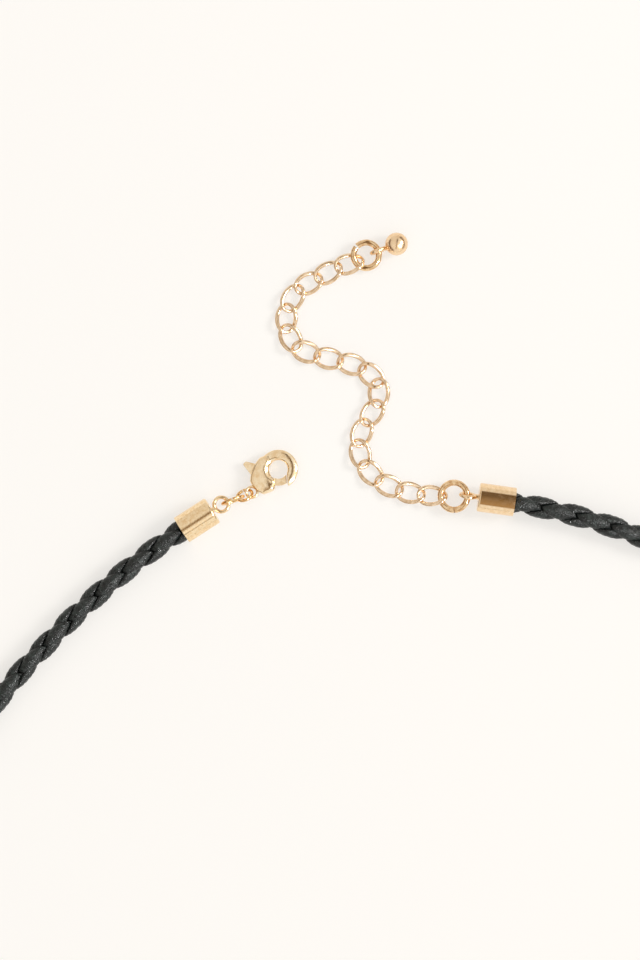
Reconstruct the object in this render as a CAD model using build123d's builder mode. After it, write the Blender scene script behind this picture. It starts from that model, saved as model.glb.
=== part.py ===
"""Necklace of one braided leather cord. A metal cap holds each end of the cord. A lobster
clasp hangs on the left cap by two small rings, and an extender chain with a ball drop
hangs on the right cap by a larger ring.

Millimetres. The necklace lies on the floor, z = 0, with its closure open. +Z is up and +Y
points from the loop of cord towards the end of the chain. The origin is on the floor, in
the middle of the box around the whole necklace.
"""
import os
from collections import namedtuple
from math import cos, pi, radians, sin, sqrt, tan

from build123d import *

os.makedirs("parts", exist_ok=True)

# Leather cord: its end stands inside a cap and its first stretch out of the cap is straight
cord_diameter = 4.0
cord_seat = 5.4
cord_straight = 6.8
arc_share_of_run = 0.45

# End caps
cap_play = 0.175
cap_wall = 0.325
cap_bore = cord_diameter + 2 * cap_play
cap_diameter = cap_bore + 2 * cap_wall
cap_length = 6.3
cap_end_wall = 0.75
cap_edge_radius = 0.3
cap_eye_radius = 1.25
cap_eye_wire = 0.65
cap_eye_reach = 1.8
cap_neck_diameter = 0.9
clasp_cap_heading = 32.8
chain_cap_heading = 172.0
clasp_eye_roll = 0.0
chain_eye_roll = 75.0

# Rings between the left cap and the clasp
jump_ring_radius = 1.9
jump_ring_wire = 0.55
jump_ring_heading = 20.0
jump_ring_roll = 84.0
jump_ring_play = 0.25
clasp_ring_radius = 1.35
clasp_ring_wire = 0.55
clasp_ring_heading = 23.0
clasp_ring_roll = -52.0
clasp_ring_play = 0.4

# Lobster clasp
clasp_heading = 40.7
clasp_roll = -7.0
body_thickness = 2.2
body_corner_radius = 0.35
body_edge_radius = 0.35
hook_reach = 6.05
hook_outer_radius = 3.4
hook_hole_radius = 1.6
hook_thickness = 1.9
hook_edge_radius = 0.6
slit_angle = 54.5
slit_inside = -0.26
slit_outside = 0.77
gate_width = 1.2
gate_inset = 0.05
gate_end_gap = 0.14
gate_root_angle = 205.0
lever_thickness = 0.95
lever_clearance = 0.12
lever_corner_radius = 0.3
lever_opening = 22.0
lever_sweep_steps = 3
pin_diameter = 0.8
pin_clearance = 0.04
pin_seat = 0.35
tail_eye_radius = 0.95
tail_eye_wire = 0.5

# Extender chain
chain_ring_radius = 2.35
chain_ring_wire = 0.9
chain_ring_heading = 183.0
chain_ring_pitch = -14.5
chain_ring_play = 0.11
first_link_play = 0.3
link_half_length = 2.45
link_half_width = 1.5
link_twist = 0.42
link_wire = 0.55
link_sides = 5
link_steps = 14

# End ring and ball drop
end_ring_radius = 2.2
end_ring_wire = 0.95
end_ring_heading = 32.8
end_ring_pitch = 2.5
end_ring_roll = 6.2
end_ring_lift = 0.89
end_ring_play = 0.606
ball_diameter = 3.95
ball_heading = 20.0
ball_eye_radius = 1.175
ball_eye_wire = 0.75
ball_neck_diameter = 0.9
solder_depth = 0.175

# Slits of the rings that open, and clearance of the lowest wires over the floor
ring_slit = 0.12
end_ring_slit = 0.3
end_ring_slit_at = 105.0
floor_clearance = 0.005

# Corners of the cord's route seen from above, from the left cap round to the right one
clasp_cap_mouth = Vector(-23.8, -8.6, 0)
chain_cap_mouth = Vector(33.5, -3.8, 0)
cord_route = [
    (-41.0, -21.9),
    (-52.8, -34.2),
    (-65.0, -49.9),
    (-77.3, -75.5),
    (-82.6, -108.2),
    (-76.1, -142.9),
    (-56.7, -174.7),
    (-26.5, -198.2),
    (10.0, -210.4),
    (48.6, -210.5),
    (85.1, -198.3),
    (115.5, -174.4),
    (134.5, -141.4),
    (138.8, -104.5),
    (129.0, -70.5),
    (111.1, -44.9),
    (91.3, -27.5),
    (73.2, -16.9),
    (57.8, -10.5),
]

# Links of the chain, from the right cap to the ball. The heading is seen from above. The
# overlap is how far a link reaches into the one before it, and lift raises all of it, both
# as shares of the link's wire. Pitch lifts the link's front and roll its left side.
Link = namedtuple("Link", "heading overlap pitch roll lift")
chain_links = [
    Link(176.6, 0.0, -7.1, 22.4, 0.81),
    Link(168.7, 2.0, -3.1, 12.0, 0.26),
    Link(155.1, 1.8, -1.0, 2.6, 0.02),
    Link(134.0, 1.7, 0.0, 0.0, 0.0),
    Link(103.0, 1.8, 0.0, 0.0, 0.0),
    Link(69.0, 2.0, 0.0, 0.0, 0.0),
    Link(54.9, 1.8, 0.0, 0.0, 0.0),
    Link(88.7, 2.0, 0.0, 0.0, 0.0),
    Link(138.0, 2.3, 0.0, 0.0, 0.0),
    Link(163.4, 1.7, 0.0, 0.0, 0.0),
    Link(168.0, 1.4, 0.0, 0.0, 0.0),
    Link(159.0, 1.5, 0.0, 0.0, 0.0),
    Link(118.0, 2.0, 0.0, 0.0, 0.0),
    Link(86.0, 2.2, 0.0, 0.0, 0.0),
    Link(58.8, 2.1, 0.0, 0.0, 0.0),
    Link(27.1, 1.82, 0.0, -1.9, 0.06),
    Link(29.7, 1.86, 3.9, -10.5, 0.32),
    Link(14.6, 1.72, 4.0, -17.4, 0.89),
]

# Outlines of the clasp seen from above. Along is a share of the way from the tail's eye to
# the middle of the hook, and across is a share of the hook's outer radius.
Corner = namedtuple("Corner", "along across")
body_outline = [
    Corner(0.13, -0.15),
    Corner(0.21, -0.47),
    Corner(0.43, -0.63),
    Corner(0.55, -0.65),
    Corner(0.76, -0.18),
    Corner(0.86, 0.35),
    Corner(1.06, 0.88),
    Corner(0.83, 1.065),
    Corner(0.61, 0.985),
    Corner(0.30, 0.71),
    Corner(0.16, 0.47),
    Corner(0.13, 0.18),
]
lever_outline = [
    Corner(0.24, -0.22),
    Corner(0.43, -0.40),
    Corner(0.71, -0.515),
    Corner(0.73, -0.235),
    Corner(0.58, 0.10),
    Corner(0.545, 0.47),
    Corner(0.62, 0.94),
    Corner(0.44, 1.395),
    Corner(0.32, 1.38),
    Corner(0.30, 0.68),
    Corner(0.24, 0.09),
]
pivot = Corner(0.405, -0.088)
slit_place = Corner(1.043, -0.606)
gate_opening = [
    Corner(0.785, -0.10),
    Corner(0.562, -0.66),
    Corner(0.562, -1.235),
]


def heading_vector(heading, pitch=0.0):
    """Unit vector along a heading seen from above, lifted by the pitch."""
    level = cos(radians(pitch))
    return Vector(cos(radians(heading)) * level, sin(radians(heading)) * level, sin(radians(pitch)))


def raised(place, height):
    """The same place at a height over the floor."""
    return Vector(place.X, place.Y, height)


# Places of the clasp and its rings, worked out in the layout seen from above
cap_axis_height = cap_diameter / 2 + floor_clearance
eye_distance = cap_length + cap_eye_reach
clasp_eye = clasp_cap_mouth + heading_vector(clasp_cap_heading) * eye_distance

jump_ring_rise = sin(radians(jump_ring_roll))
jump_ring_height = jump_ring_radius * jump_ring_rise + jump_ring_wire / 2 + floor_clearance
jump_ring_back = sqrt(jump_ring_radius**2 - ((cap_axis_height - jump_ring_height) / jump_ring_rise) ** 2)
jump_ring_place = clasp_eye + heading_vector(jump_ring_heading) * (jump_ring_back + jump_ring_play)

body_half_width = max(corner.across for corner in body_outline) * hook_outer_radius
clasp_height = (
    body_thickness / 2 * cos(radians(clasp_roll))
    + (body_half_width - body_edge_radius) * sin(radians(-clasp_roll))
    + floor_clearance
)
jump_ring_front = sqrt(jump_ring_radius**2 - ((clasp_height - jump_ring_height) / jump_ring_rise) ** 2)
clasp_ring_back = jump_ring_front - (jump_ring_wire + clasp_ring_wire) / 2 - clasp_ring_play
clasp_ring_place = jump_ring_place + heading_vector(clasp_ring_heading) * (clasp_ring_back + clasp_ring_radius)
tail_eye = clasp_ring_place + heading_vector(clasp_ring_heading) * clasp_ring_radius

# Places of the chain, its rings and the ball
chain_eye = raised(chain_cap_mouth, cap_axis_height) + heading_vector(chain_cap_heading) * eye_distance
chain_ring_forward = heading_vector(chain_ring_heading, chain_ring_pitch)
chain_ring_place = chain_eye + chain_ring_forward * (chain_ring_radius + chain_ring_play)
first_link_inset = (chain_ring_wire + link_wire) / 2 + first_link_play
link_tip = chain_ring_place + chain_ring_forward * (chain_ring_radius - first_link_inset)

link_height = link_twist + link_wire / 2 + floor_clearance
link_places = []
for link in chain_links:
    forward = heading_vector(link.heading)
    if link_places:
        link_tip = link_tip - (last_forward + forward) * (link.overlap * link_wire / 2)
    link_places.append(raised(link_tip + forward * link_half_length, link_height + link.lift * link_wire))
    link_tip = link_tip + forward * (2 * link_half_length)
    last_forward = forward

end_ring_inset = (end_ring_wire + link_wire) / 2 + end_ring_play
end_ring_centre = link_tip - last_forward * end_ring_inset + heading_vector(end_ring_heading) * end_ring_radius
end_ring_place = raised(end_ring_centre, end_ring_wire / 2 + end_ring_lift)
ball_eye_height = ball_eye_radius + ball_eye_wire / 2 + floor_clearance
ball_eye_place = raised(end_ring_place + heading_vector(ball_heading) * end_ring_radius, ball_eye_height)
ball_reach = (ball_diameter + ball_eye_wire) / 2 + ball_eye_radius - solder_depth
ball_centre = ball_eye_place + heading_vector(ball_heading) * ball_reach
ball_place = raised(ball_centre, ball_diameter / 2 + floor_clearance)

# Line of the cord, from its end inside the left cap to its end inside the right cap: straight
# runs joined by tangent arcs
cord_height = cord_diameter / 2 + floor_clearance
cord_ends = []
for mouth, heading in ((clasp_cap_mouth, clasp_cap_heading), (chain_cap_mouth, chain_cap_heading)):
    place = raised(mouth, cap_axis_height)
    along = heading_vector(heading)
    cord_ends.append([place + along * cord_seat, place - along * cord_straight])
cord_corners = cord_ends[0] + [Vector(x, y, cord_height) for x, y in cord_route] + cord_ends[1][::-1]
cord_runs = [far - near for near, far in zip(cord_corners, cord_corners[1:])]
cord_radii = [
    arc_share_of_run * min(run.length, following.length) / tan(radians(run.get_angle(following)) / 2)
    for run, following in zip(cord_runs, cord_runs[1:])
]
with BuildLine() as cord_line:
    FilletPolyline(*cord_corners, radius=cord_radii)

# Middle of the box around the necklace, which becomes the origin
cord_box = cord_line.line.bounding_box()
middle = Vector(
    (cord_box.min.X + cord_box.max.X) / 2,
    (cord_box.min.Y - cord_diameter / 2 + ball_place.Y + ball_diameter / 2) / 2,
    0,
)


def tilted(place, heading, pitch=0.0, roll=0.0):
    """Plane at a place of the layout, its x along the heading. Pitch lifts the front of the
    plane and roll lifts its left side."""
    return Plane(Location(place - middle, (roll, -pitch, heading), Extrinsic.XYZ))


def facing(place, direction):
    """Plane at a place of the layout that faces along a direction, its x level."""
    return Plane(place - middle, x_dir=Vector(0, 0, 1).cross(direction), z_dir=direction)


def wire_ring(ring_plane, radius, wire, slit=0.0, slit_at=0.0):
    """Ring of round wire in a plane, with a slit of some width at an angle."""
    half_slit = slit / (2 * radius)
    begin = radians(slit_at) + half_slit
    outward = ring_plane.x_dir * cos(begin) + ring_plane.y_dir * sin(begin)
    along = ring_plane.z_dir.cross(outward)
    section = Plane(ring_plane.origin + outward * radius, x_dir=outward, z_dir=along)
    with BuildPart() as ring:
        with BuildSketch(section):
            Circle(wire / 2)
        revolve(axis=Axis(ring_plane.origin, ring_plane.z_dir), revolution_arc=360 - 360 * half_slit / pi)
    return ring


def triangle(a, b, c):
    """Flat face with three corners."""
    return Face(Wire.make_polygon([a, b, c]))


def faceted_loop(rings):
    """Solid between rings of points that have as many points each and close on themselves.
    Each patch of four corners is folded along its deeper diagonal, so that the wire stays slim."""
    faces = []
    for near, far in zip(rings, rings[1:] + rings[:1]):
        core = sum(near + far, Vector()) / (2 * len(near))
        for k in range(len(near)):
            a, b, c, d = near[k - 1], near[k], far[k], far[k - 1]
            if ((a + c) / 2 - core).length < ((b + d) / 2 - core).length:
                faces += [triangle(a, b, c), triangle(a, c, d)]
            else:
                faces += [triangle(a, b, d), triangle(b, c, d)]
    with BuildPart() as body:
        add(Solid(Shell(faces)))
    return body


def save(piece, name):
    """Labels a finished piece and writes its file."""
    piece.part.label = name
    export_step(piece.part, f"parts/{name}.step")


# Braided cord, plain
cord_start = cord_corners[0]
with BuildPart() as braided_cord:
    with BuildSketch(facing(cord_start, cord_runs[0].normalized())):
        Circle(cord_diameter / 2)
    sweep(path=cord_line.wire().moved(Location(middle * -1)))
save(braided_cord, "braided_cord")
cord_length = cord_line.wire().length
print("radii of the cord's arcs:", [round(radius, 1) for radius in cord_radii])
print("length of the cord:", round(cord_length, 2))
print("volume over section times length:", braided_cord.part.volume / (cord_length * pi * cord_diameter**2 / 4))


# End caps
def end_cap(mouth, heading, eye_roll):
    """Cup over the end of the cord, with a wire eye soldered to its closed end."""
    along = heading_vector(heading)
    place = raised(mouth, cap_axis_height)
    eye_place = place + along * eye_distance
    eye = wire_ring(tilted(eye_place, heading, 0, eye_roll), cap_eye_radius, cap_eye_wire)
    with BuildPart() as cap:
        with BuildSketch(facing(place, along)):
            Circle(cap_diameter / 2)
        extrude(amount=cap_length)
        end_face = cap.faces().sort_by(Axis(place - middle, along))[-1]
        fillet(end_face.edges(), cap_edge_radius)
        with BuildSketch(facing(place, along)):
            Circle(cap_bore / 2)
        extrude(amount=cap_length - cap_end_wall, mode=Mode.SUBTRACT)
        with BuildSketch(facing(eye_place - along * cap_eye_radius, along * -1)):
            Circle(cap_neck_diameter / 2)
        extrude(amount=cap_eye_reach - cap_eye_radius + cap_end_wall / 2)
        add(eye.part)
    return cap


save(end_cap(clasp_cap_mouth, clasp_cap_heading, clasp_eye_roll), "end_cap_clasp")
save(end_cap(chain_cap_mouth, chain_cap_heading, chain_eye_roll), "end_cap_chain")

# Rings between the left cap and the clasp
jump_plane = tilted(raised(jump_ring_place, jump_ring_height), jump_ring_heading, 0, jump_ring_roll)
save(wire_ring(jump_plane, jump_ring_radius, jump_ring_wire, ring_slit, 90), "jump_ring")
clasp_ring_plane = tilted(raised(clasp_ring_place, clasp_height), clasp_ring_heading, 0, clasp_ring_roll)
save(wire_ring(clasp_ring_plane, clasp_ring_radius, clasp_ring_wire, ring_slit, 90), "clasp_ring")

# Clasp: places in its own plane, from the eye of its tail
clasp_plane = tilted(raised(tail_eye, clasp_height), clasp_heading, 0, clasp_roll)
hook_centre = Vector(hook_reach, 0)
slit_direction = Vector(cos(radians(slit_angle)), sin(radians(slit_angle)))
slit_normal = Vector(-slit_direction.Y, slit_direction.X)


def on_clasp(corner):
    """Place of a corner of an outline in the plane of the clasp."""
    return Vector(corner.along * hook_reach, corner.across * hook_outer_radius)


def slit_end(share, set_back=0.0):
    """Place on the line of the slit, by its share of the hook's radius outside the middle
    of the slit, set back from the hook's end."""
    return on_clasp(slit_place) - slit_direction * (share * hook_outer_radius) + slit_normal * set_back


pivot_place = on_clasp(pivot)
lever_plane = Plane(
    clasp_plane.from_local_coords(pivot_place), x_dir=clasp_plane.x_dir, z_dir=clasp_plane.z_dir
)
gate_inner_radius = hook_hole_radius + gate_inset
gate_root = Vector(cos(radians(gate_root_angle)), sin(radians(gate_root_angle)))

# Outline of the lever about its pivot: a bar with a thumb tab, and a gate bent like the hook
with BuildSketch() as lever_face:
    Polygon(*[on_clasp(corner) - pivot_place for corner in lever_outline], align=None)
    fillet(lever_face.vertices(), lever_corner_radius)
with BuildSketch() as gate_face:
    with Locations(hook_centre - pivot_place):
        Circle(gate_inner_radius + gate_width)
        Circle(gate_inner_radius, mode=Mode.SUBTRACT)
    Polygon(
        hook_centre - pivot_place,
        hook_centre + gate_root * hook_outer_radius - pivot_place,
        on_clasp(gate_opening[-1]) - pivot_place,
        slit_end(slit_outside, gate_end_gap) - pivot_place,
        slit_end(slit_inside, gate_end_gap) - pivot_place,
        align=None,
        mode=Mode.INTERSECT,
    )
with BuildSketch() as lever_shape:
    add(lever_face.sketch)
    add(gate_face.sketch)

with BuildPart() as clasp_lever:
    with BuildSketch(lever_plane.offset(-lever_thickness / 2)):
        add(lever_shape.sketch)
        Circle(pin_diameter / 2 + pin_clearance, mode=Mode.SUBTRACT)
    extrude(amount=lever_thickness)
save(clasp_lever, "clasp_lever")

tail_ring = wire_ring(clasp_plane, tail_eye_radius, tail_eye_wire)
with BuildPart() as clasp_body:
    with BuildSketch(clasp_plane.offset(-body_thickness / 2)) as body_face:
        Polygon(*[on_clasp(corner) for corner in body_outline], align=None)
        fillet(body_face.vertices(), body_corner_radius)
    extrude(amount=body_thickness)
    body_levels = clasp_body.edges().group_by(Axis(clasp_plane.origin, clasp_plane.z_dir))
    fillet(body_levels[0] + body_levels[-1], body_edge_radius)
    with BuildSketch(clasp_plane.offset(-body_thickness)):
        with Locations(hook_centre):
            Circle(hook_hole_radius + hook_edge_radius)
    extrude(amount=2 * body_thickness, mode=Mode.SUBTRACT)

    # The hook is a full ring before its gap is cut
    hook_origin = clasp_plane.from_local_coords(hook_centre)
    with BuildSketch(Plane(hook_origin, x_dir=clasp_plane.x_dir, z_dir=clasp_plane.y_dir * -1)):
        with Locations(((hook_outer_radius + hook_hole_radius) / 2, 0)):
            RectangleRounded(hook_outer_radius - hook_hole_radius, hook_thickness, hook_edge_radius)
    revolve(axis=Axis(hook_origin, clasp_plane.z_dir))
    with BuildSketch(clasp_plane.offset(-body_thickness)):
        Polygon(
            *[on_clasp(corner) for corner in gate_opening],
            slit_end(slit_outside),
            slit_end(slit_inside),
            align=None,
        )
    extrude(amount=2 * body_thickness, mode=Mode.SUBTRACT)

    # Slot in which the lever swings
    slot_height = lever_thickness + 2 * lever_clearance
    with BuildSketch(lever_plane.offset(-slot_height / 2)):
        for number in range(lever_sweep_steps + 1):
            add(lever_shape.sketch, rotation=number * lever_opening / lever_sweep_steps)
        offset(amount=lever_clearance)
    extrude(amount=slot_height, mode=Mode.SUBTRACT)

    # Pin of the lever, fast in both walls of the slot
    pin_length = slot_height + 2 * pin_seat
    with BuildSketch(lever_plane.offset(-pin_length / 2)):
        Circle(pin_diameter / 2)
    extrude(amount=pin_length)
    add(tail_ring.part)
save(clasp_body, "clasp_body")

# Ring between the right cap and the chain
chain_ring_plane = tilted(chain_ring_place, chain_ring_heading, chain_ring_pitch)
save(wire_ring(chain_ring_plane, chain_ring_radius, chain_ring_wire, ring_slit, 90), "chain_ring")


# Links of the chain
def chain_link(link_plane):
    """Oval link of wire, twisted so that its ends stand across each other as in a curb chain."""
    rings = []
    for number in range(link_steps):
        turn = 2 * pi * number / link_steps
        centre = Vector(
            link_half_length * cos(turn), link_half_width * sin(turn), -link_twist * sin(2 * turn)
        )
        onwards = Vector(
            -link_half_length * sin(turn), link_half_width * cos(turn), -2 * link_twist * cos(2 * turn)
        )
        outward = Vector(onwards.Y, -onwards.X).normalized()
        upward = outward.cross(onwards).normalized()
        corners = []
        for side in range(link_sides):
            around = 2 * pi * side / link_sides
            corner = centre + (outward * cos(around) + upward * sin(around)) * (link_wire / 2)
            corners.append(link_plane.from_local_coords(corner))
        rings.append(corners)
    return faceted_loop(rings)


for number, (link, place) in enumerate(zip(chain_links, link_places), start=1):
    save(chain_link(tilted(place, link.heading, link.pitch, link.roll)), f"link_{number:02d}")

# End ring
end_ring_plane = tilted(end_ring_place, end_ring_heading, end_ring_pitch, end_ring_roll)
save(wire_ring(end_ring_plane, end_ring_radius, end_ring_wire, end_ring_slit, end_ring_slit_at), "end_ring")

# Ball drop: a ball with an upright eye soldered to it
ball_eye = wire_ring(tilted(ball_eye_place, ball_heading, 0, 90), ball_eye_radius, ball_eye_wire)
neck_place = ball_eye_place + heading_vector(ball_heading) * ball_eye_radius
neck_line = ball_place - neck_place
with BuildPart() as ball_drop:
    with Locations(ball_place - middle):
        Sphere(ball_diameter / 2)
    with BuildSketch(facing(neck_place, neck_line.normalized())):
        Circle(ball_neck_diameter / 2)
    extrude(amount=neck_line.length / 2)
    add(ball_eye.part)
save(ball_drop, "ball_drop")
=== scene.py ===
"""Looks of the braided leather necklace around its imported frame. Lengths of the necklace are
in millimetres below, and mesh_piece turns them into the frame's metres. Floor, room and
lights are in metres."""
from math import cos, pi, radians, sin

import bmesh
import bpy
import numpy as np
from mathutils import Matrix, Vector


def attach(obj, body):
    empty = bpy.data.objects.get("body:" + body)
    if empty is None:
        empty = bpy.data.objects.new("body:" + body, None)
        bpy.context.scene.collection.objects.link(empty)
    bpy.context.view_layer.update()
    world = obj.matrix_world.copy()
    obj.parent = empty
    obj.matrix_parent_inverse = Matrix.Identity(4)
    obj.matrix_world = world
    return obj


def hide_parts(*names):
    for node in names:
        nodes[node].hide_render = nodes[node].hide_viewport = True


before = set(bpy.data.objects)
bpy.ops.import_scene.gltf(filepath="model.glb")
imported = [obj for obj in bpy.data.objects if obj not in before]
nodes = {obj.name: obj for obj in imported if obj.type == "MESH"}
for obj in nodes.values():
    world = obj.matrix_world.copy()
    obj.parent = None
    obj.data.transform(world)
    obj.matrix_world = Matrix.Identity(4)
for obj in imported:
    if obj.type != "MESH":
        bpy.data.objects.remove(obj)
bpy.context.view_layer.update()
scene = bpy.context.scene
randomness = np.random.default_rng(7)
METRE = 1000.0  # in millimetres

# Route of the cord in the layout of the part, with the layout's point that is the origin
origin_place = np.array([28.0876, -84.8966, 0.0])
clasp_cap_mouth = np.array([-23.8, -8.6, 0.0])
chain_cap_mouth = np.array([33.5, -3.8, 0.0])
clasp_cap_heading = 32.8
chain_cap_heading = 172.0
cord_seat = 5.4
cord_straight = 6.8
cord_height = 2.005
cap_axis_height = 2.505
cord_route = [
    (-41.0, -21.9),
    (-52.8, -34.2),
    (-65.0, -49.9),
    (-77.3, -75.5),
    (-82.6, -108.2),
    (-76.1, -142.9),
    (-56.7, -174.7),
    (-26.5, -198.2),
    (10.0, -210.4),
    (48.6, -210.5),
    (85.1, -198.3),
    (115.5, -174.4),
    (134.5, -141.4),
    (138.8, -104.5),
    (129.0, -70.5),
    (111.1, -44.9),
    (91.3, -27.5),
    (73.2, -16.9),
    (57.8, -10.5),
]
cord_turns = 50.25

# Clasp: places of its tail and hook in the frame's metres, the direction square to its faces,
# the outline of its body in its own plane, and how its faces are rounded down: how far from
# the edge, to which share of their height there, and from which height on
tail_eye = (-0.039842, 0.082787, 0.001495)
hook_place = (-0.035256, 0.086732, 0.001495)
clasp_normal = (-0.079471, 0.092393, 0.992546)
hook_outer_radius = 3.4
body_outline = [
    (0.79, -0.51),
    (1.27, -1.60),
    (2.60, -2.14),
    (3.33, -2.21),
    (4.60, -0.61),
    (5.20, 1.19),
    (6.41, 2.99),
    (5.02, 3.62),
    (3.69, 3.35),
    (1.82, 2.41),
    (0.97, 1.60),
    (0.79, 0.61),
]
pillow_reach = 1.7
pillow_edge = 0.68
pillow_from = 0.75

# Cast copies of the clasp: voxels and rounds of smoothing, how far a point moves in a round,
# and how much less it moves near the thin wire of the tail's eye
body_voxel = 0.06
body_rounds = 26
lever_voxel = 0.05
lever_rounds = 8
weld_distance = 0.0005
smoothing_share = 0.5
eye_reach = 1.25
eye_blend = 0.6
eye_least_share = 0.06

# Laces of the braid: outer radius of the cord, thickness of a lace, and the angle from the
# middle of a lace to its edge at some turns from the place where it lies on top. They wander
# by some degrees and swell by a share of their width, and thicken where they swell.
braid_radius = 1.93
lace_thickness = 1.0
lace_edge_turns = (-90.0, -80.0, -6.0, 78.0, 90.0)
lace_edge_angles = (88.0, 76.0, 64.0, 101.0, 88.0)
lace_camber = 0.08
lace_first_angle = 202.5
lace_steps = 2600
lace_sides = 18
lace_roundness = 2.4
lace_wander = 2.0
lace_wander_steps = 41
lace_swell = 0.03
lace_swell_steps = 29
lace_thickening = 0.12 / 0.035
lace_uv_length = 100

# Links of the chain, whose wire is wider at their sides
link_count = 18
link_half_length = 2.45
link_half_width = 1.5
link_twist = 0.42
link_wire = 0.55
link_side_growth = 0.20
link_growth_power = 1.5
link_steps = 56
wire_sides = 14

# Rings that show a little thicker than their solids
ring_growth = {"chain_ring": 0.09, "end_ring": 0.06}

# Floor and its glow
floor_reach = 1.5
floor_colour = (0.40, 0.393, 0.385, 1.0)
floor_glow = 0.61

# Room that the metal mirrors: directions, and limits of their parts, each with a softness
room_strength = 0.95
up_axis = (0, 0, 1)
light_axis = (0.72, -0.69, 0.0)
light_limits = (-0.75, 0.35)
side_axis = (0.966, 0.259, 0.0)
side_limits = (-0.6, 0.6, 0.1)
low_limits = (-0.1, 0.36, 0.08)
strip_across_limits = (-0.14, 0.07, 0.03)
strip_along_limits = (-0.85, 0.80, 0.05)
strip_up_limits = (0.05, 2.0, 0.05)
strip_shade_limits = (-0.9, 0.4)
line_across_axis = (0.542, -0.84, 0.0)
line_across_limits = (0.69, 0.76, 0.02)
line_along_axis = (0.84, 0.542, 0.0)
line_along_limits = (-0.2, 0.2, 0.05)

# Lights, which shine at the middle of the photo
light_target = (-0.028, 0.085, 0.0)
key_place = (0.85, 0.30, 0.62)
key_size = 0.35
key_power = 5.0
key_colour = (1.0, 0.97, 0.93)
glint_place = (0.55, -0.30, 0.75)
glint_size = 0.07
glint_power = 9.0

# Camera: straight down over the photo's middle
photo_middle = (-28.0876, 84.8966)
photo_height = 165.5
lens = 100.0
sensor = 36.0


def linear(value):
    """Linear colour, with alpha, of a hex colour."""
    parts = [int(value[k : k + 2], 16) / 255 for k in (0, 2, 4)]
    bright = [((c + 0.055) / 1.055) ** 2.4 for c in parts]
    return [c / 12.92 if c <= 0.04045 else b for c, b in zip(parts, bright)] + [1.0]


def mesh_piece(name, points, faces, body, material, uv=None):
    """Smooth mesh from points in millimetres, riding on a body."""
    mesh = bpy.data.meshes.new(name)
    mesh.from_pydata((np.asarray(points) / METRE).tolist(), [], faces)
    mesh.polygons.foreach_set("use_smooth", [True] * len(mesh.polygons))
    if uv is not None:
        layer = mesh.uv_layers.new(name="UVMap")
        corners = np.zeros(len(mesh.loops), np.int32)
        mesh.loops.foreach_get("vertex_index", corners)
        layer.data.foreach_set("uv", np.asarray(uv)[corners].astype(np.float32).ravel())
    mesh.update()
    piece = bpy.data.objects.new(name, mesh)
    scene.collection.objects.link(piece)
    piece.data.materials.append(material)
    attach(piece, body)
    return piece


def grid_faces(rows, columns, closed):
    """Quads between rows of points whose columns close on themselves."""
    faces = []
    for i in range(rows if closed else rows - 1):
        a = i * columns
        b = (i + 1) % rows * columns
        for j in range(columns):
            k = (j + 1) % columns
            faces.append((a + j, a + k, b + k, b + j))
    if not closed:
        faces.append(tuple(range(columns))[::-1])
        faces.append(tuple((rows - 1) * columns + j for j in range(columns)))
    return faces


def node_points(name):
    """Corners of a CAD node in millimetres."""
    return np.array([v.co for v in nodes[name].data.vertices], float) * METRE


def unit(vector):
    """Vector of length one."""
    return vector / np.linalg.norm(vector)


# Materials
class Shader:
    """Small builder for a material's nodes."""

    def __init__(self, name):
        self.material = bpy.data.materials.new(name)
        self.material.use_nodes = True
        self.tree = self.material.node_tree
        self.surface = self.tree.nodes["Principled BSDF"]

    def node(self, kind, **inputs):
        """New node with its inputs set or linked."""
        made = self.tree.nodes.new(kind)
        for key, value in inputs.items():
            socket = made.inputs[key.replace("_", " ")]
            if isinstance(value, bpy.types.NodeSocket):
                self.tree.links.new(value, socket)
            else:
                socket.default_value = value
        return made

    def link(self, output, socket):
        self.tree.links.new(output, socket)

    def ramp(self, source, stops):
        """Colour that changes with a value, through stops of place and colour."""
        made = self.node("ShaderNodeValToRGB")
        self.link(source, made.inputs[0])
        elements = made.color_ramp.elements
        while len(elements) < len(stops):
            elements.new(0.5)
        for element, (place, colour) in zip(elements, stops):
            element.position = place
            element.color = colour
        return made.outputs[0]

    def spread(self, source, low, high, to_low, to_high):
        """Value mapped from one range to another."""
        made = self.node("ShaderNodeMapRange")
        self.link(source, made.inputs["Value"])
        made.inputs["From Min"].default_value = low
        made.inputs["From Max"].default_value = high
        made.inputs["To Min"].default_value = to_low
        made.inputs["To Max"].default_value = to_high
        return made.outputs[0]


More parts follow.
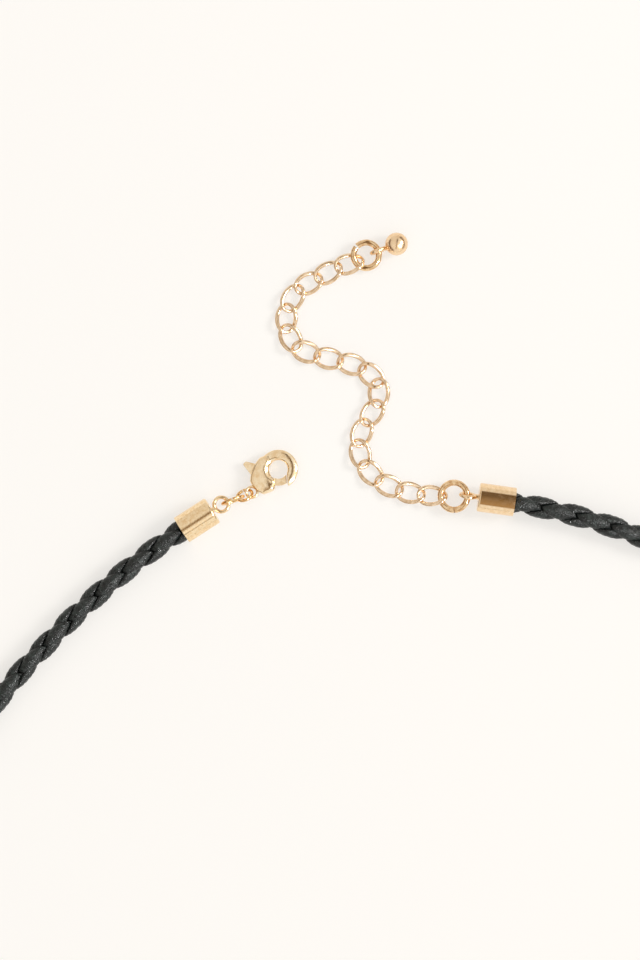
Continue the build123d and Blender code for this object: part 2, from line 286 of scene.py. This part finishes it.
def leather():
    """Charcoal leather with a fine grain, creases across the laces and darker edges."""
    look = Shader("leather")
    place = look.node("ShaderNodeTexCoord")
    grain = look.node("ShaderNodeTexNoise", Scale=2400.0, Detail=3.0, Roughness=0.6)
    look.link(place.outputs["Object"], grain.inputs["Vector"])
    blotch = look.node("ShaderNodeTexNoise", Scale=1100.0, Detail=3.0, Roughness=0.6)
    look.link(place.outputs["Object"], blotch.inputs["Vector"])
    stretched = look.node("ShaderNodeMapping")
    stretched.inputs["Scale"].default_value = (330.0, 2.2, 1.0)
    look.link(place.outputs["UV"], stretched.inputs["Vector"])
    creases = look.node(
        "ShaderNodeTexNoise", Scale=1.0, Detail=3.0, Roughness=0.55, Distortion=0.4
    )
    look.link(stretched.outputs["Vector"], creases.inputs["Vector"])
    base = look.ramp(
        blotch.outputs["Fac"],
        [(0.36, linear("080C0B")), (0.52, linear("151D1B")), (0.66, linear("2C3634"))],
    )
    across = look.node("ShaderNodeSeparateXYZ")
    look.link(place.outputs["UV"], across.inputs[0])
    edge = look.spread(across.outputs["Y"], 0.80, 0.97, 0.0, 0.85)
    mixed = look.node("ShaderNodeMix")
    mixed.data_type = "RGBA"
    look.link(edge, mixed.inputs["Factor"])
    look.link(base, mixed.inputs["A"])
    mixed.inputs["B"].default_value = linear("080A09")
    look.link(mixed.outputs["Result"], look.surface.inputs["Base Color"])
    shine = look.spread(grain.outputs["Fac"], 0.45, 0.60, 0.46, 0.14)
    look.link(shine, look.surface.inputs["Roughness"])
    look.surface.inputs["Specular IOR Level"].default_value = 0.5
    first = look.node("ShaderNodeBump", Strength=1.0, Distance=0.00016)
    look.link(creases.outputs["Fac"], first.inputs["Height"])
    second = look.node("ShaderNodeBump", Strength=1.0, Distance=0.0002)
    look.link(grain.outputs["Fac"], second.inputs["Height"])
    look.link(first.outputs["Normal"], second.inputs["Normal"])
    look.link(second.outputs["Normal"], look.surface.inputs["Normal"])
    return look.material


def gold(name, bright, dull, roughness, scuff_scale, bump, brushed=None):
    """Plated metal whose tone and polish vary a little, brushed along a heading if given."""
    look = Shader(name)
    place = look.node("ShaderNodeTexCoord")
    where = place.outputs["Object"]
    patches = look.node("ShaderNodeTexNoise", Scale=scuff_scale, Detail=4.0, Roughness=0.6)
    look.link(where, patches.inputs["Vector"])
    height = patches.outputs["Fac"]
    tone = look.ramp(height, [(0.35, linear(dull)), (0.60, linear(bright))])
    look.link(tone, look.surface.inputs["Base Color"])
    look.surface.inputs["Metallic"].default_value = 1.0
    polish = look.spread(height, 0.3, 0.7, roughness + 0.05, max(roughness - 0.05, 0.04))
    look.link(polish, look.surface.inputs["Roughness"])
    dents = look.node("ShaderNodeBump", Strength=bump, Distance=0.00005)
    look.link(height, dents.inputs["Height"])
    if brushed is not None:
        turned = look.node("ShaderNodeMapping")
        turned.inputs["Rotation"].default_value = (0, 0, radians(-brushed))
        turned.inputs["Scale"].default_value = (0.08, 1.0, 1.0)
        look.link(where, turned.inputs["Vector"])
        lines = look.node("ShaderNodeTexNoise", Scale=5200.0, Detail=3.0, Roughness=0.65)
        look.link(turned.outputs["Vector"], lines.inputs["Vector"])
        scratches = look.node("ShaderNodeBump", Strength=0.25, Distance=0.00001)
        look.link(lines.outputs["Fac"], scratches.inputs["Height"])
        look.link(scratches.outputs["Normal"], dents.inputs["Normal"])
    look.link(dents.outputs["Normal"], look.surface.inputs["Normal"])
    return look.material


leather_look = leather()
rose_wire = gold("rose_gold_wire", "F8DEBE", "DEBE98", 0.13, 1500.0, 0.25)
rose_ring = gold("rose_gold_ring", "F6D8AE", "D8AC7A", 0.12, 1500.0, 0.30)
rose_cap = gold(
    "rose_gold_cap", "F9DEB8", "F0CEA2", 0.13, 1500.0, 0.12, brushed=chain_cap_heading
)
rose_ball = gold("rose_gold_ball", "FADDB6", "F0CBA0", 0.24, 900.0, 0.30)
pale_wire = gold("pale_gold_wire", "F8D6A0", "D2A066", 0.12, 1500.0, 0.30)
pale_cast = gold("pale_gold_cast", "FFEAC6", "F4D4A6", 0.17, 1100.0, 0.35)
pale_cap = gold(
    "pale_gold_cap", "FCE4BC", "F0CE9E", 0.15, 2200.0, 0.30, brushed=clasp_cap_heading
)


# Braided cord
def heading_vector(heading):
    """Level unit vector along a heading in degrees."""
    return np.array([cos(radians(heading)), sin(radians(heading)), 0.0])


def cord_end(mouth, heading):
    """Corners of the route inside a cap and where its straight stretch ends."""
    place = mouth + np.array([0, 0, cap_axis_height])
    inward = heading_vector(heading)
    return [place + inward * cord_seat, place - inward * cord_straight]


def smooth_route(corners, count):
    """Places and directions at equal steps along a route's smooth line, and its length."""
    curve = bpy.data.curves.new("route", "CURVE")
    curve.dimensions = "3D"
    curve.resolution_u = 64
    route = curve.splines.new("NURBS")
    route.points.add(len(corners) - 1)
    for point, corner in zip(route.points, corners):
        point.co = (*corner, 1.0)
    route.order_u = 3
    route.use_endpoint_u = True
    holder = bpy.data.objects.new("route", curve)
    scene.collection.objects.link(holder)
    bpy.context.view_layer.update()
    evaluated = holder.evaluated_get(bpy.context.evaluated_depsgraph_get())
    mesh = bpy.data.meshes.new_from_object(evaluated)
    line = np.array([v.co for v in mesh.vertices])
    bpy.data.objects.remove(holder)
    bpy.data.meshes.remove(mesh)
    steps = np.linalg.norm(np.diff(line, axis=0), axis=1)
    lengths = np.concatenate([[0], np.cumsum(steps)])
    wanted = np.linspace(0, lengths[-1], count)
    places = np.stack([np.interp(wanted, lengths, line[:, k]) for k in range(3)], axis=1)
    ahead = np.gradient(places, axis=0)
    return places, ahead / np.linalg.norm(ahead, axis=1)[:, None], lengths[-1]


clasp_end = cord_end(clasp_cap_mouth, clasp_cap_heading)
chain_end = cord_end(chain_cap_mouth, chain_cap_heading)
loop_corners = [np.array([x, y, cord_height]) for x, y in cord_route]
route_corners = clasp_end + loop_corners + chain_end[::-1]
cord_places, cord_ahead, cord_length = smooth_route(
    [corner - origin_place for corner in route_corners], lace_steps + 1
)
cord_along = np.linspace(0, cord_length, lace_steps + 1)
cord_left = np.cross([0, 0, 1], cord_ahead)
cord_left = cord_left / np.linalg.norm(cord_left, axis=1)[:, None]
cord_up = np.cross(cord_ahead, cord_left)


def smooth_noise(count, spacing, strength):
    """Gently varying values along a lace."""
    knots = randomness.normal(0, strength, int(count / spacing) + 4)
    place = np.arange(count) / spacing
    low = place.astype(int)
    share = place - low
    share = share * share * (3 - 2 * share)
    return knots[low] * (1 - share) + knots[low + 1] * share


def lace(name, direction, offset):
    """Rounded leather strip that passes over and under the others. It lies over them on the
    top and bottom of the cord if it turns anticlockwise, else on both sides."""
    count = lace_steps + 1
    turned = lace_first_angle + cord_along / cord_length * cord_turns * 360
    wander = smooth_noise(count, lace_wander_steps, lace_wander)
    swell = 1 + smooth_noise(count, lace_swell_steps, lace_swell)
    around = np.linspace(0, 2 * pi, lace_sides, endpoint=False)
    power = 2 / lace_roundness
    lateral = np.sign(np.cos(around)) * np.abs(np.cos(around)) ** power
    outward = np.sign(np.sin(around)) * np.abs(np.sin(around)) ** power
    mid_radius = braid_radius - lace_thickness
    phase = (turned - (90 if direction > 0 else 0) + 90) % 180 - 90
    ahead_angle = np.interp(phase, lace_edge_turns, lace_edge_angles)
    behind_angle = np.interp(-phase, lace_edge_turns, lace_edge_angles)
    reach = np.where(lateral[None, :] > 0, ahead_angle[:, None], behind_angle[:, None])
    span = -direction * reach * swell[:, None] * lateral[None, :]
    over = np.sin(pi / 2 * np.cos(np.radians(2 * phase[:, None] + direction * span)))
    thickening = 1 + lace_thickening * (swell[:, None] - 1)
    radius = mid_radius + over * lace_thickness / 2
    radius = radius + outward[None, :] * lace_thickness / 2 * thickening
    radius = np.minimum(radius, braid_radius) - lace_camber * lateral[None, :] ** 2
    angle = np.radians(direction * turned[:, None] + offset + wander[:, None] + span)
    points = (
        cord_places[:, None, :]
        + (np.cos(angle) * radius)[:, :, None] * cord_left[:, None, :]
        + (np.sin(angle) * radius)[:, :, None] * cord_up[:, None, :]
    )
    along = cord_along[:, None] / lace_uv_length
    uv = np.stack(np.broadcast_arrays(along, np.abs(lateral)[None, :]), axis=2)
    piece = mesh_piece(
        name,
        points.reshape(-1, 3),
        grid_faces(count, lace_sides, closed=False),
        "necklace",
        leather_look,
        uv.reshape(-1, 2),
    )
    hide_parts("braided_cord")


lace("lace_1", 1, 0)
lace("lace_2", 1, 180)
lace("lace_3", -1, 0)
lace("lace_4", -1, 180)


# Wire pieces
def principal_frame(points):
    """Middle of some points and their longest, middle and shortest directions."""
    middle = points.mean(0)
    _, directions = np.linalg.eigh(np.cov((points - middle).T))
    longest, between = directions[:, 2], directions[:, 1]
    return middle, longest, between, np.cross(longest, between)


def wire_loop(centres, onwards, normal, wire, growth, sides):
    """Rings of points round a closed line of wire that grows outwards by some amounts."""
    points = []
    for centre, ahead, more in zip(centres, onwards, growth):
        outward = unit(np.cross(ahead, normal))
        upward = np.cross(outward, unit(ahead))
        for k in range(sides):
            turn = 2 * pi * k / sides
            across = cos(turn) * (wire + more) / 2 + more / 2
            points.append(centre + outward * across + upward * sin(turn) * wire / 2)
    return points


def link(node):
    """Oval link of wire, twisted like the CAD link it stands for and wider at its sides."""
    middle, longest, between, normal = principal_frame(node_points(node))
    centres, onwards, growth = [], [], []
    for k in range(link_steps):
        turn = 2 * pi * k / link_steps
        centres.append(
            middle
            + longest * link_half_length * cos(turn)
            + between * link_half_width * sin(turn)
            - normal * link_twist * sin(2 * turn)
        )
        onwards.append(
            -longest * link_half_length * sin(turn)
            + between * link_half_width * cos(turn)
            - normal * 2 * link_twist * cos(2 * turn)
        )
        growth.append(link_side_growth * abs(sin(turn)) ** link_growth_power)
    points = wire_loop(centres, onwards, normal, link_wire, growth, wire_sides)
    faces = grid_faces(link_steps, wire_sides, closed=True)
    piece = mesh_piece(node + "_wire", points, faces, "necklace", rose_wire)
    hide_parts(node)


for number in range(1, link_count + 1):
    link(f"link_{number:02d}")


def thicker_ring(node, growth):
    """Copy of a CAD ring grown all round by some millimetres."""
    source = nodes[node].data
    points = node_points(node) + np.array([v.normal for v in source.vertices]) * growth
    faces = [tuple(p.vertices) for p in source.polygons]
    piece = mesh_piece(node + "_wire", points, faces, "necklace", rose_ring)
    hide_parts(node)


for name, growth in ring_growth.items():
    thicker_ring(name, growth)

# CAD pieces that show as they are
for name, look in [
    ("end_cap_clasp", pale_cap),
    ("end_cap_chain", rose_cap),
    ("jump_ring", pale_wire),
    ("clasp_ring", pale_wire),
    ("ball_drop", rose_ball),
]:
    nodes[name].data.materials.clear()
    nodes[name].data.materials.append(look)
    for polygon in nodes[name].data.polygons:
        polygon.material_index = 0


# Clasp
def inside_distance(points, outline):
    """Distance of flat points from the outline, nought outside of it."""
    outline = np.array(outline)
    nearest = np.full(len(points), np.inf)
    inside = np.zeros(len(points), bool)
    for a, b in zip(outline, np.roll(outline, -1, axis=0)):
        along = b - a
        share = np.clip((points - a) @ along / (along @ along), 0, 1)
        away = np.linalg.norm(points - a - share[:, None] * along, axis=1)
        nearest = np.minimum(nearest, away)
        crosses = (a[1] > points[:, 1]) != (b[1] > points[:, 1])
        level = a[0] + (points[:, 1] - a[1]) / (along[1] or 1e-9) * along[0]
        inside ^= crosses & (points[:, 0] < level)
    return np.where(inside, nearest, 0)


def pillow(corners):
    """Points of the clasp's body with its flat faces rounded down towards their edges."""
    normal = unit(np.array(clasp_normal))
    tail_to_hook = np.array(hook_place) - tail_eye
    along = unit(tail_to_hook)
    across = np.cross(normal, along)
    axes = np.stack([along, across, normal], axis=1)
    local = (corners - np.array(tail_eye) * METRE) @ axes
    hook = np.array([np.linalg.norm(tail_to_hook) * METRE, 0])
    inside = np.maximum(
        inside_distance(local[:, :2], body_outline),
        np.clip(hook_outer_radius - np.linalg.norm(local[:, :2] - hook, axis=1), 0, None),
    )
    share = 1 - np.clip(inside / pillow_reach, 0, 1)
    rounded = pillow_edge + (1 - pillow_edge) * np.sqrt(1 - share**2)
    height = np.abs(local[:, 2])
    lowered = np.where(height > pillow_from, height * rounded, height)
    return corners + ((lowered - height) * np.sign(local[:, 2]))[:, None] * normal


def cast_copy(node, name, body, voxel, rounds, spared=None, form_change=None):
    """Copy of a CAD node with the softened edges of a casting. Spared is a place in metres
    and a reach in millimetres where the wire is too thin for that."""
    faces = [tuple(p.vertices) for p in nodes[node].data.polygons]
    mesh = bpy.data.meshes.new(name + "_source")
    mesh.from_pydata(node_points(node).tolist(), [], faces)
    form = bmesh.new()
    form.from_mesh(mesh)
    bmesh.ops.remove_doubles(form, verts=form.verts, dist=weld_distance)
    form.to_mesh(mesh)
    form.free()
    source = bpy.data.objects.new(name + "_source", mesh)
    scene.collection.objects.link(source)
    remesh = source.modifiers.new("cast", "REMESH")
    remesh.mode = "VOXEL"
    remesh.voxel_size = voxel
    evaluated = source.evaluated_get(bpy.context.evaluated_depsgraph_get())
    made = bpy.data.meshes.new_from_object(evaluated)
    corners = np.zeros(len(made.vertices) * 3)
    made.vertices.foreach_get("co", corners)
    corners = corners.reshape(-1, 3)
    pairs = np.zeros(len(made.edges) * 2, np.int32)
    made.edges.foreach_get("vertices", pairs)
    pairs = pairs.reshape(-1, 2)
    faces = [tuple(p.vertices) for p in made.polygons]
    bpy.data.objects.remove(source)
    bpy.data.meshes.remove(made)
    share = np.full(len(corners), smoothing_share)
    if spared is not None:
        place, reach = spared
        away = np.linalg.norm(corners - np.array(place) * METRE, axis=1)
        share = smoothing_share * np.clip((away - reach) / eye_blend, eye_least_share, 1)
    if form_change is not None:
        corners = form_change(corners)
    count = np.bincount(pairs.ravel(), minlength=len(corners))[:, None]
    for _ in range(rounds):
        total = np.zeros_like(corners)
        for k in range(3):
            total[:, k] = np.bincount(pairs[:, 0], corners[pairs[:, 1], k], len(corners))
            total[:, k] += np.bincount(pairs[:, 1], corners[pairs[:, 0], k], len(corners))
        corners = corners + (total / count - corners) * share[:, None]
    piece = mesh_piece(name, corners, faces, body, pale_cast)
    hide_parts(node)


cast_copy(
    "clasp_body",
    "clasp_cast_body",
    "necklace",
    body_voxel,
    body_rounds,
    (tail_eye, eye_reach),
    pillow,
)
cast_copy("clasp_lever", "clasp_cast_lever", "clasp_lever", lever_voxel, lever_rounds)

# Floor
floor_mesh = bpy.data.meshes.new("floor")
floor_corners = [
    (x * floor_reach, y * floor_reach, 0) for x, y in ((-1, -1), (1, -1), (1, 1), (-1, 1))
]
floor_mesh.from_pydata(floor_corners, [], [(0, 1, 2, 3)])
floor = bpy.data.objects.new("floor", floor_mesh)
scene.collection.objects.link(floor)
floor_look = bpy.data.materials.new("floor")
floor_look.use_nodes = True
floor_surface = floor_look.node_tree.nodes["Principled BSDF"]
floor_surface.inputs["Base Color"].default_value = floor_colour
floor_surface.inputs["Roughness"].default_value = 0.9
floor_surface.inputs["Specular IOR Level"].default_value = 0.0
floor_surface.inputs["Emission Color"].default_value = linear("FEFCF8")
floor_surface.inputs["Emission Strength"].default_value = floor_glow
floor.data.materials.append(floor_look)

# Light
world = bpy.data.worlds.new("room")
scene.world = world
world.use_nodes = True
tree = world.node_tree
background = tree.nodes["Background"]
room_direction = tree.nodes.new("ShaderNodeTexCoord")


def direction_part(axis):
    """Component of the direction along an axis."""
    made = tree.nodes.new("ShaderNodeVectorMath")
    made.operation = "DOT_PRODUCT"
    tree.links.new(room_direction.outputs["Generated"], made.inputs[0])
    made.inputs[1].default_value = axis
    return made.outputs["Value"]


def between(value, low, high, soft):
    """One between two limits and nought outside, with soft edges."""
    shares = []
    for limit, sense in ((low, 1), (high, -1)):
        made = tree.nodes.new("ShaderNodeMapRange")
        made.interpolation_type = "SMOOTHSTEP"
        tree.links.new(value, made.inputs["Value"])
        made.inputs["From Min"].default_value = limit - soft * sense
        made.inputs["From Max"].default_value = limit + soft * sense
        shares.append(made.outputs[0])
    return product(*shares)


def product(a, b):
    """One value times another."""
    made = tree.nodes.new("ShaderNodeMath")
    made.operation = "MULTIPLY"
    tree.links.new(a, made.inputs[0])
    tree.links.new(b, made.inputs[1])
    return made.outputs[0]


def inverse(value):
    """One less a value."""
    made = tree.nodes.new("ShaderNodeMath")
    made.operation = "SUBTRACT"
    made.inputs[0].default_value = 1.0
    tree.links.new(value, made.inputs[1])
    return made.outputs[0]


def colour_mix(factor, first, second):
    """Mix of two colours, either of them a socket or a hex colour."""
    made = tree.nodes.new("ShaderNodeMix")
    made.data_type = "RGBA"
    tree.links.new(factor, made.inputs["Factor"])
    for name, colour in (("A", first), ("B", second)):
        if isinstance(colour, str):
            made.inputs[name].default_value = linear(colour)
        else:
            tree.links.new(colour, made.inputs[name])
    return made.outputs["Result"]


def ramp_along(axis, limits):
    """Value from nought to one between two limits along an axis."""
    made = tree.nodes.new("ShaderNodeMapRange")
    tree.links.new(direction_part(axis), made.inputs["Value"])
    made.inputs["From Min"].default_value, made.inputs["From Max"].default_value = limits
    return made


# Bright side, brown low parts at two sides, and the strip and thin line seen in the caps
light_side = ramp_along(light_axis, light_limits)
light_side.interpolation_type = "SMOOTHSTEP"
room = colour_mix(light_side.outputs[0], "ECE6DE", "FFFEFC")
beside = inverse(between(direction_part(side_axis), *side_limits))
low_side = product(between(direction_part(up_axis), *low_limits), beside)
room = colour_mix(low_side, room, "5E4228")
strip_across_axis = tuple(heading_vector(chain_cap_heading))
strip_along_axis = tuple(heading_vector(chain_cap_heading - 90))
strip = product(
    between(direction_part(strip_across_axis), *strip_across_limits),
    product(
        between(direction_part(strip_along_axis), *strip_along_limits),
        between(direction_part(up_axis), *strip_up_limits),
    ),
)
strip_shade = ramp_along(strip_along_axis, strip_shade_limits)
room = colour_mix(strip, room, colour_mix(strip_shade.outputs[0], "B49468", "69512F"))
thin_line = product(
    between(direction_part(line_across_axis), *line_across_limits),
    between(direction_part(line_along_axis), *line_along_limits),
)
room = colour_mix(thin_line, room, "8A6C42")
tree.links.new(room, background.inputs["Color"])
background.inputs["Strength"].default_value = room_strength


def disk_light(name, place, size, power, colour=(1.0, 1.0, 1.0)):
    """Round lamp that shines at the middle of the photo."""
    data = bpy.data.lights.new(name, "AREA")
    data.shape = "DISK"
    data.size = size
    data.energy = power
    data.color = colour
    lamp = bpy.data.objects.new(name, data)
    lamp.location = place
    backward = Vector([a - b for a, b in zip(place, light_target)])
    lamp.rotation_euler = backward.to_track_quat("Z", "Y").to_euler()
    scene.collection.objects.link(lamp)
    return lamp


disk_light("key", key_place, key_size, key_power, key_colour)
glint = disk_light("glint", glint_place, glint_size, glint_power)
glint.visible_diffuse = False

scene.view_settings.view_transform = "Standard"
scene.view_settings.look = "None"

# Camera
camera_data = bpy.data.cameras.new("camera")
camera_data.lens = lens
camera_data.sensor_fit = "VERTICAL"
camera_data.sensor_height = sensor
camera_data.clip_start = 0.01
camera = bpy.data.objects.new("camera", camera_data)
camera.location = (
    photo_middle[0] / METRE,
    photo_middle[1] / METRE,
    (photo_height * lens / sensor + cord_height) / METRE,
)
scene.collection.objects.link(camera)
scene.camera = camera
